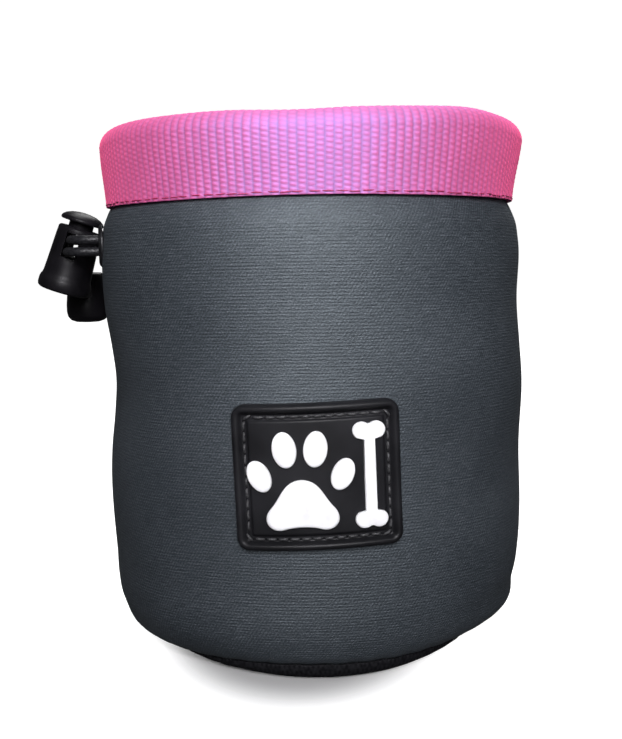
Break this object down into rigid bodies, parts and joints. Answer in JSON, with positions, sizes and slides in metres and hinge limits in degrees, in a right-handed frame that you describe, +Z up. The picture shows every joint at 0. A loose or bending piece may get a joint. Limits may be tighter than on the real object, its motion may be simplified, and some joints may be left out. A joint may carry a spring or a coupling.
{
  "type": "treat pouch",
  "caption": "Round soft pouch with a webbing rim, an inner drawstring collar, a spring cord lock, a moulded front patch and a belt clip on the back.",
  "frame": {"origin": "centre of the pouch's underside, on the surface it stands on", "axes": "+Z up along the pouch's axis; the front patch faces -Y, the belt clip is on +Y and the cord lock hangs on the -X side"},
  "size_m": [0.1066, 0.1056, 0.107],
  "materials": {
    "neoprene": "matte dark grey melange jersey over foam",
    "webbing": "pink ribbed nylon with a satin sheen",
    "black_cloth": "matte black woven",
    "lining": "thin coated nylon, slight sheen",
    "cord": "braided, slightly glossy",
    "black_plastic": "satin moulded",
    "patch_rubber": "satin moulded",
    "emblem_white": "matte raised print",
    "steel": "satin",
    "black_metal": "satin black"
  },
  "bodies": {
    "pouch": {"body_shell": "neoprene", "base_panel": "black_cloth", "seam_tape": "black_cloth", "lining_wall": "lining", "lining_floor": "lining", "rim_band": "webbing", "collar": "lining", "drawstring_ring": "cord", "cord_tail_upper": "cord", "cord_tail_lower": "cord", "eyelet": "black_metal", "eyelet_washer": "black_metal", "cord_end": "black_plastic", "patch_base": "patch_rubber", "emblem_pad": "emblem_white", "emblem_toe_1": "emblem_white", "emblem_toe_2": "emblem_white", "emblem_toe_3": "emblem_white", "emblem_toe_4": "emblem_white", "emblem_bone": "emblem_white", "clip_pad": "black_cloth", "belt_clip": "black_metal", "clip_rivet_lower": "steel", "clip_rivet_upper": "steel", "rivet_washer_lower": "steel", "rivet_washer_upper": "steel"},
    "cord_lock": {"cord_lock_barrel": "black_plastic", "cord_lock_spring": "steel"},
    "lock_plunger": {"cord_lock_plunger": "black_plastic"}
  },
  "joints": [
    {"name": "cord_lock_slide", "type": "slide", "parent": "pouch", "child": "cord_lock", "axis": [0, 1, 0], "range_m": [0, 0.002]},
    {"name": "plunger_press", "type": "slide", "parent": "cord_lock", "child": "lock_plunger", "axis": [-0.309, 0, -0.9511], "range_m": [0, 0.001], "stiffness_N_per_m": 400, "springref_m": -0.0005, "deforming": ["cord_lock_spring"]}
  ]
}
